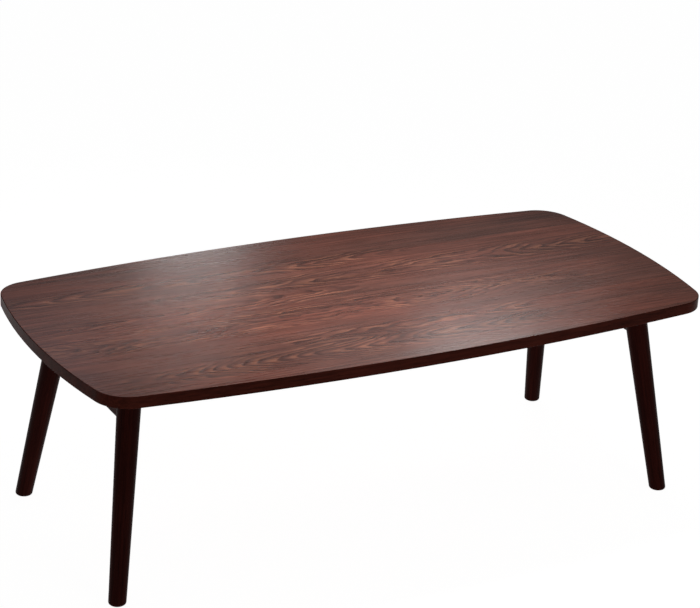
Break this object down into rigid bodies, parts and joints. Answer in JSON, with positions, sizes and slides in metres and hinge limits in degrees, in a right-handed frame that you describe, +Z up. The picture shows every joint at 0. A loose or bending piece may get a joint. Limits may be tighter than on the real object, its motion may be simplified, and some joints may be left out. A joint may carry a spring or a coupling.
{
  "type": "folding low table",
  "caption": "Low table with a barrel-shaped wood-grain panel and splayed round legs on cross boards; spring hinges fold both leg frames flat under the panel.",
  "frame": {"origin": "on the floor under the middle of the tabletop, with the leg frames open", "axes": "+X along the length of the tabletop, to the right frame; +Y across it, to the back; +Z up"},
  "size_m": [0.9998, 0.4848, 0.324],
  "materials": {
    "top_wood": "satin red-brown grain laminate",
    "underside_wood": "satin red-brown grain laminate",
    "core_board": "raw fibreboard",
    "edge_band": "semi-gloss dark maroon edging",
    "leg_wood": "dark red-brown satin lacquer",
    "board_wood": "dark red-brown satin lacquer",
    "dowel_wood": "raw beech",
    "hinge_steel": "dark semi-gloss coating",
    "rivet_steel": "dull zinc plating",
    "spring_steel": "drawn spring wire",
    "screw_steel": "bright nickel plating"
  },
  "bodies": {
    "tabletop": {"panel_core": "core_board", "top_veneer": "top_wood", "underside_veneer": "underside_wood", "edge_band": "edge_band", "base_screws": "screw_steel", "pivot_rivets": "rivet_steel", "spring_studs": "rivet_steel", "left_front_hinge_base": "hinge_steel", "left_back_hinge_base": "hinge_steel", "right_front_hinge_base": "hinge_steel", "right_back_hinge_base": "hinge_steel"},
    "left_frame": {"left_front_leg": "leg_wood", "left_back_leg": "leg_wood", "left_cross_board": "board_wood", "left_dowels": "dowel_wood", "left_front_hinge_leaf": "hinge_steel", "left_back_hinge_leaf": "hinge_steel", "left_leaf_screws": "screw_steel", "left_spring_pins": "rivet_steel"},
    "right_frame": {"right_front_leg": "leg_wood", "right_back_leg": "leg_wood", "right_cross_board": "board_wood", "right_dowels": "dowel_wood", "right_front_hinge_leaf": "hinge_steel", "right_back_hinge_leaf": "hinge_steel", "right_leaf_screws": "screw_steel", "right_spring_pins": "rivet_steel"},
    "left_front_pull_spring": {"left_front_spring": "spring_steel"},
    "left_back_pull_spring": {"left_back_spring": "spring_steel"},
    "right_front_pull_spring": {"right_front_spring": "spring_steel"},
    "right_back_pull_spring": {"right_back_spring": "spring_steel"}
  },
  "joints": [
    {"name": "left_frame_fold", "type": "hinge", "parent": "tabletop", "child": "left_frame", "pos_m": [-0.38631, 0, 0.288], "axis": [0, -1, 0], "range_deg": [0, 103.94]},
    {"name": "right_frame_fold", "type": "hinge", "parent": "tabletop", "child": "right_frame", "pos_m": [0.38631, 0, 0.288], "axis": [0, 1, 0], "range_deg": [0, 103.94]},
    {"name": "left_front_spring_swing", "type": "hinge", "parent": "tabletop", "child": "left_front_pull_spring", "pos_m": [-0.35231, -0.075, 0.301], "axis": [0, -1, 0], "range_deg": [0, 18.3], "deforming": ["left_front_spring"]},
    {"name": "left_back_spring_swing", "type": "hinge", "parent": "tabletop", "child": "left_back_pull_spring", "pos_m": [-0.35231, 0.075, 0.301], "axis": [0, -1, 0], "range_deg": [0, 18.3], "deforming": ["left_back_spring"]},
    {"name": "right_front_spring_swing", "type": "hinge", "parent": "tabletop", "child": "right_front_pull_spring", "pos_m": [0.35231, -0.075, 0.301], "axis": [0, 1, 0], "range_deg": [0, 18.3], "deforming": ["right_front_spring"]},
    {"name": "right_back_spring_swing", "type": "hinge", "parent": "tabletop", "child": "right_back_pull_spring", "pos_m": [0.35231, 0.075, 0.301], "axis": [0, 1, 0], "range_deg": [0, 18.3], "deforming": ["right_back_spring"]}
  ],
  "couplings": [
    {"joint": "left_front_spring_swing", "follows": "left_frame_fold", "ratio": 0.17577},
    {"joint": "left_back_spring_swing", "follows": "left_frame_fold", "ratio": 0.17577},
    {"joint": "right_front_spring_swing", "follows": "right_frame_fold", "ratio": 0.17577},
    {"joint": "right_back_spring_swing", "follows": "right_frame_fold", "ratio": 0.17577}
  ]
}
